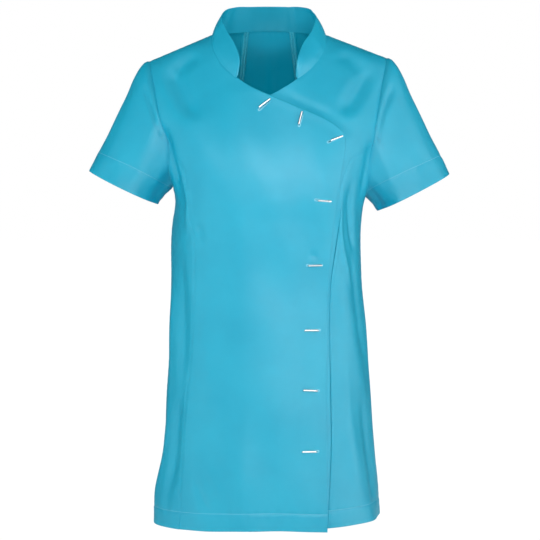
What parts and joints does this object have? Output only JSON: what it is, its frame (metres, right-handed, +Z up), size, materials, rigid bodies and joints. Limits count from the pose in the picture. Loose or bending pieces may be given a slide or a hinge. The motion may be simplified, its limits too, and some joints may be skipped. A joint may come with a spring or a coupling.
{
  "type": "beautician tunic",
  "caption": "Short-sleeved thigh-length tunic in its hollow worn form, with a stand collar, princess seams and a slanted overlapping front closed by metal bars",
  "frame": {"origin": "midway between the points where the two shoulder seams meet the collar, where the wearer's shoulders hold the tunic", "axes": "+Z up; the front faces -Y; the wearer's right is at -X"},
  "size_m": [0.5764, 0.2549, 0.8268],
  "materials": {
    "twill": "dyed polyester twill, matt",
    "bar_metal": "polished"
  },
  "bodies": {
    "root": {"front_right": "twill", "front_left": "twill", "side_front_right": "twill", "side_front_left": "twill", "side_back_right": "twill", "side_back_left": "twill", "back_centre": "twill", "collar": "twill", "sleeve_right": "twill", "sleeve_left": "twill", "bar_1": "bar_metal", "bar_2": "bar_metal", "bar_3": "bar_metal", "bar_4": "bar_metal", "bar_5": "bar_metal", "bar_6": "bar_metal", "bar_7": "bar_metal", "bar_8": "bar_metal"}
  },
  "joints": []
}
